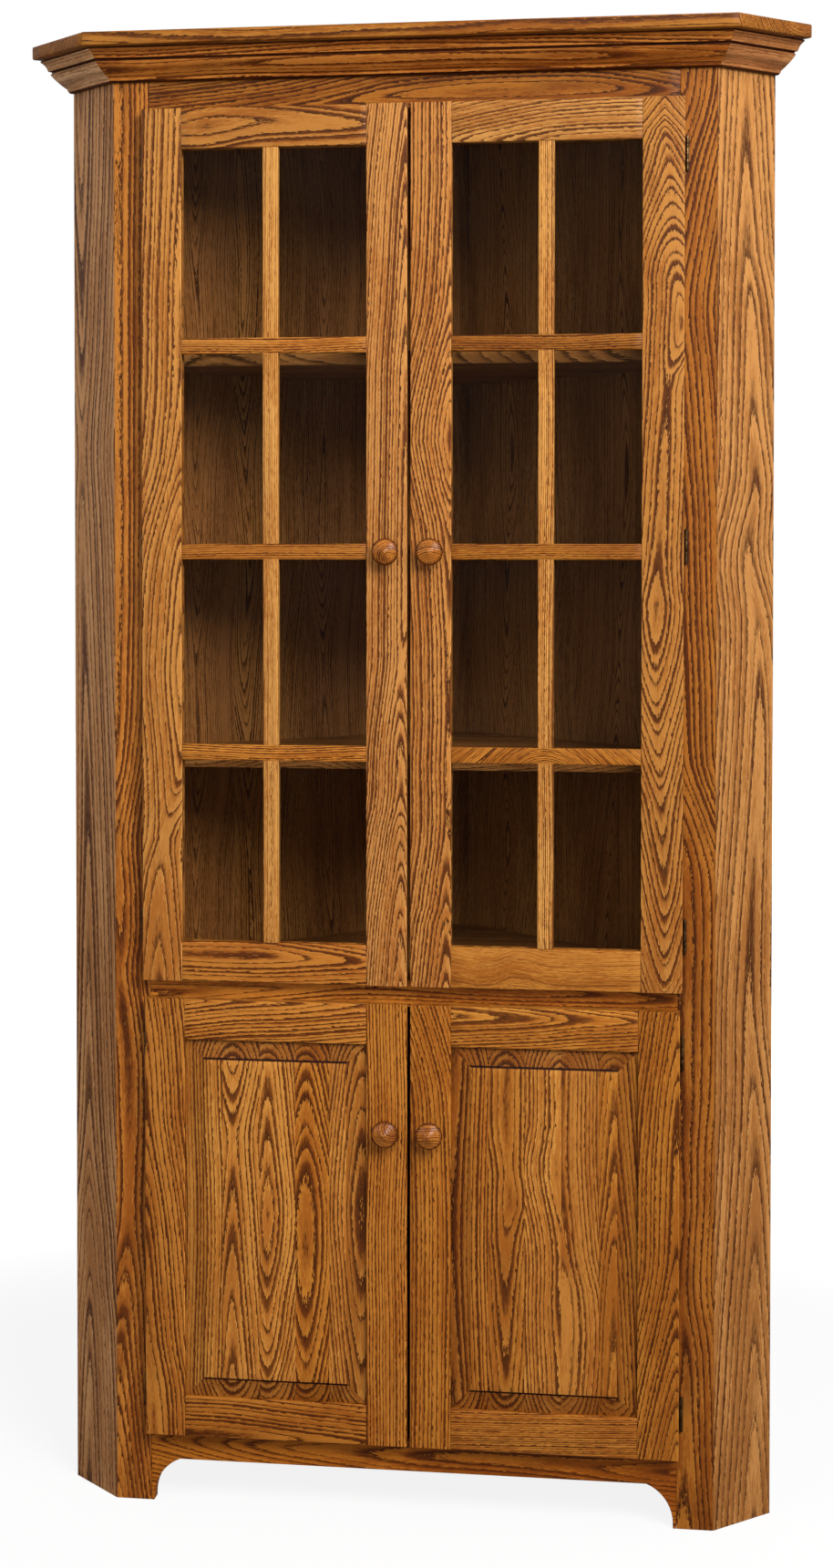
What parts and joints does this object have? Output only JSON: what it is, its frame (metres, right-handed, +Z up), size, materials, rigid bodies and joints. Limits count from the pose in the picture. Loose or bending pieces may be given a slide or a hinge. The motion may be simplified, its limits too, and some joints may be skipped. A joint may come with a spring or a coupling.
{
  "type": "corner cupboard",
  "caption": "Tall oak corner cupboard with canted returns, mitred crown, glazed lattice doors above and raised-panel doors below.",
  "frame": {"origin": "on the floor, under the middle of the whole box", "axes": "+X to the right seen from the front, +Y from the doors to the corner of the room, +Z up"},
  "size_m": [1.1012, 0.635, 2.083],
  "materials": {
    "face_oak": "stained oak, satin lacquer",
    "door_oak": "stained oak, satin lacquer",
    "return_oak": "stained oak, satin lacquer",
    "inside_oak": "stained oak veneer, satin lacquer",
    "knob_oak": "turned oak, satin lacquer",
    "glass": "clear polished",
    "hinge_brass": "antiqued"
  },
  "bodies": {
    "carcass": {"bottom_deck": "inside_oak", "bottom_rail": "face_oak", "corner_post": "inside_oak", "front_crown": "face_oak", "left_back_panel": "inside_oak", "left_crown": "face_oak", "left_face_stile": "face_oak", "left_return": "return_oak", "lower_shelf": "inside_oak", "mid_deck": "inside_oak", "mid_rail": "face_oak", "right_back_panel": "inside_oak", "right_crown": "face_oak", "right_face_stile": "face_oak", "right_return": "return_oak", "top_cap": "face_oak", "top_rail": "face_oak", "upper_shelf_1": "inside_oak", "upper_shelf_2": "inside_oak", "upper_shelf_3": "inside_oak"},
    "lower_left_door": {"lower_left_bottom_rail": "door_oak", "lower_left_hinge_1": "hinge_brass", "lower_left_hinge_2": "hinge_brass", "lower_left_hinge_stile": "door_oak", "lower_left_knob": "knob_oak", "lower_left_lock_stile": "door_oak", "lower_left_panel": "door_oak", "lower_left_top_rail": "door_oak"},
    "lower_right_door": {"lower_right_bottom_rail": "door_oak", "lower_right_hinge_1": "hinge_brass", "lower_right_hinge_2": "hinge_brass", "lower_right_hinge_stile": "door_oak", "lower_right_knob": "knob_oak", "lower_right_lock_stile": "door_oak", "lower_right_panel": "door_oak", "lower_right_top_rail": "door_oak"},
    "upper_left_door": {"upper_left_bottom_rail": "door_oak", "upper_left_glass": "glass", "upper_left_glass_stop": "door_oak", "upper_left_hinge_1": "hinge_brass", "upper_left_hinge_2": "hinge_brass", "upper_left_hinge_3": "hinge_brass", "upper_left_hinge_stile": "door_oak", "upper_left_knob": "knob_oak", "upper_left_lattice": "door_oak", "upper_left_lock_stile": "door_oak", "upper_left_top_rail": "door_oak"},
    "upper_right_door": {"upper_right_bottom_rail": "door_oak", "upper_right_glass": "glass", "upper_right_glass_stop": "door_oak", "upper_right_hinge_1": "hinge_brass", "upper_right_hinge_2": "hinge_brass", "upper_right_hinge_3": "hinge_brass", "upper_right_hinge_stile": "door_oak", "upper_right_knob": "knob_oak", "upper_right_lattice": "door_oak", "upper_right_lock_stile": "door_oak", "upper_right_top_rail": "door_oak"}
  },
  "joints": [
    {"name": "upper_left_door_hinge", "type": "hinge", "parent": "carcass", "child": "upper_left_door", "pos_m": [-0.3826, -0.2527, 1.3666], "axis": [0, 0, -1], "range_deg": [0, 105]},
    {"name": "upper_right_door_hinge", "type": "hinge", "parent": "carcass", "child": "upper_right_door", "pos_m": [0.3826, -0.2527, 1.3666], "axis": [0, 0, 1], "range_deg": [0, 105]},
    {"name": "lower_left_door_hinge", "type": "hinge", "parent": "carcass", "child": "lower_left_door", "pos_m": [-0.3796, -0.2527, 0.4138], "axis": [0, 0, -1], "range_deg": [0, 105]},
    {"name": "lower_right_door_hinge", "type": "hinge", "parent": "carcass", "child": "lower_right_door", "pos_m": [0.3796, -0.2527, 0.4138], "axis": [0, 0, 1], "range_deg": [0, 105]}
  ]
}
